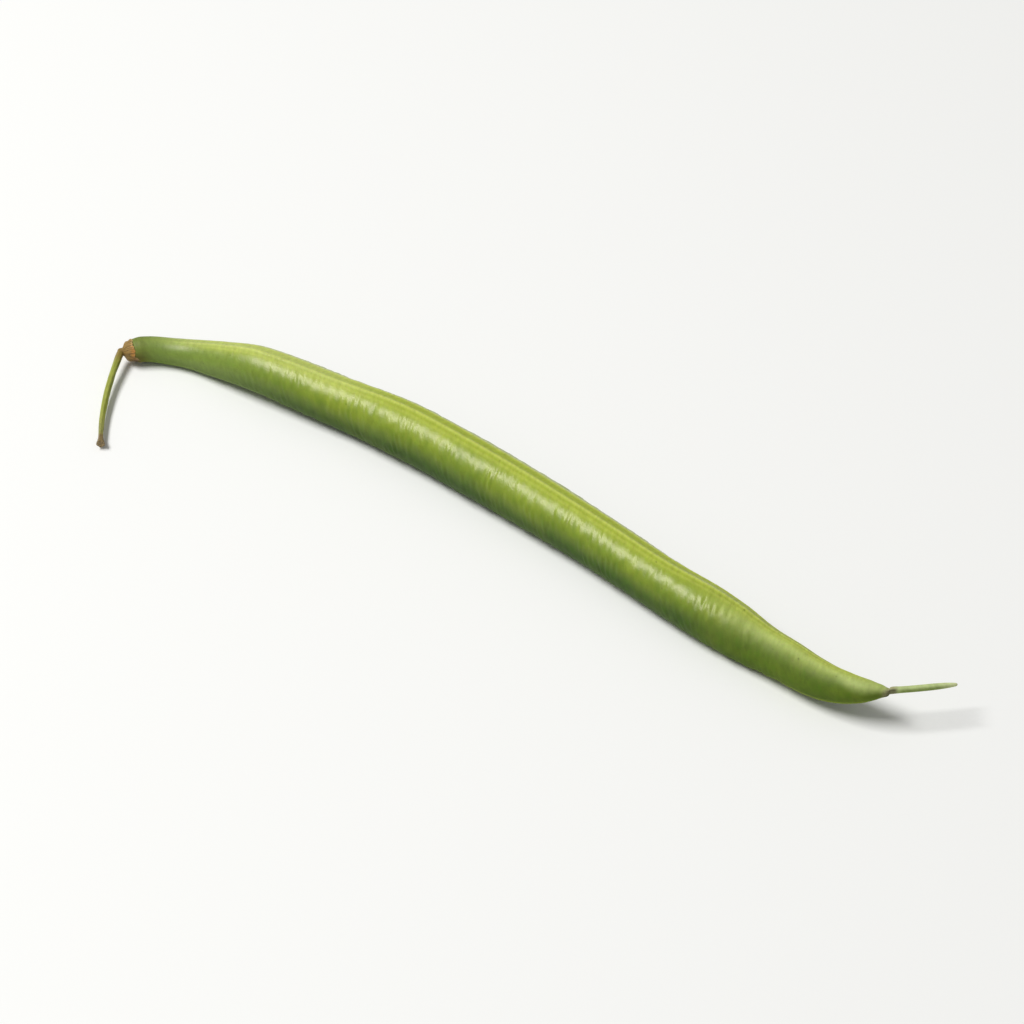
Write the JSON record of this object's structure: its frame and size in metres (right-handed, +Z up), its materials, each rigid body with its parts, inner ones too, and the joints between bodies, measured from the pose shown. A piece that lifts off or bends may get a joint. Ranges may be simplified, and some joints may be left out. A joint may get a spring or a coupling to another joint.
{
  "type": "green bean",
  "caption": "Whole fresh green bean lying on a surface: slender curved pod with a ridged seam, gentle seed swellings and a thin beak, with dried calyx and stalk.",
  "frame": {"origin": "middle of the bean's footprint, on the surface that it lies on", "axes": "+X along the pod from the stem end to the beak, +Z up from the surface, +Y to the side that the pod bows towards"},
  "size_m": [0.1365, 0.0298, 0.0083],
  "materials": {
    "pod": "satin",
    "calyx": "matte",
    "stalk": "satin"
  },
  "bodies": {
    "root": {"pod": "pod", "calyx": "calyx", "stalk": "stalk"}
  },
  "joints": []
}
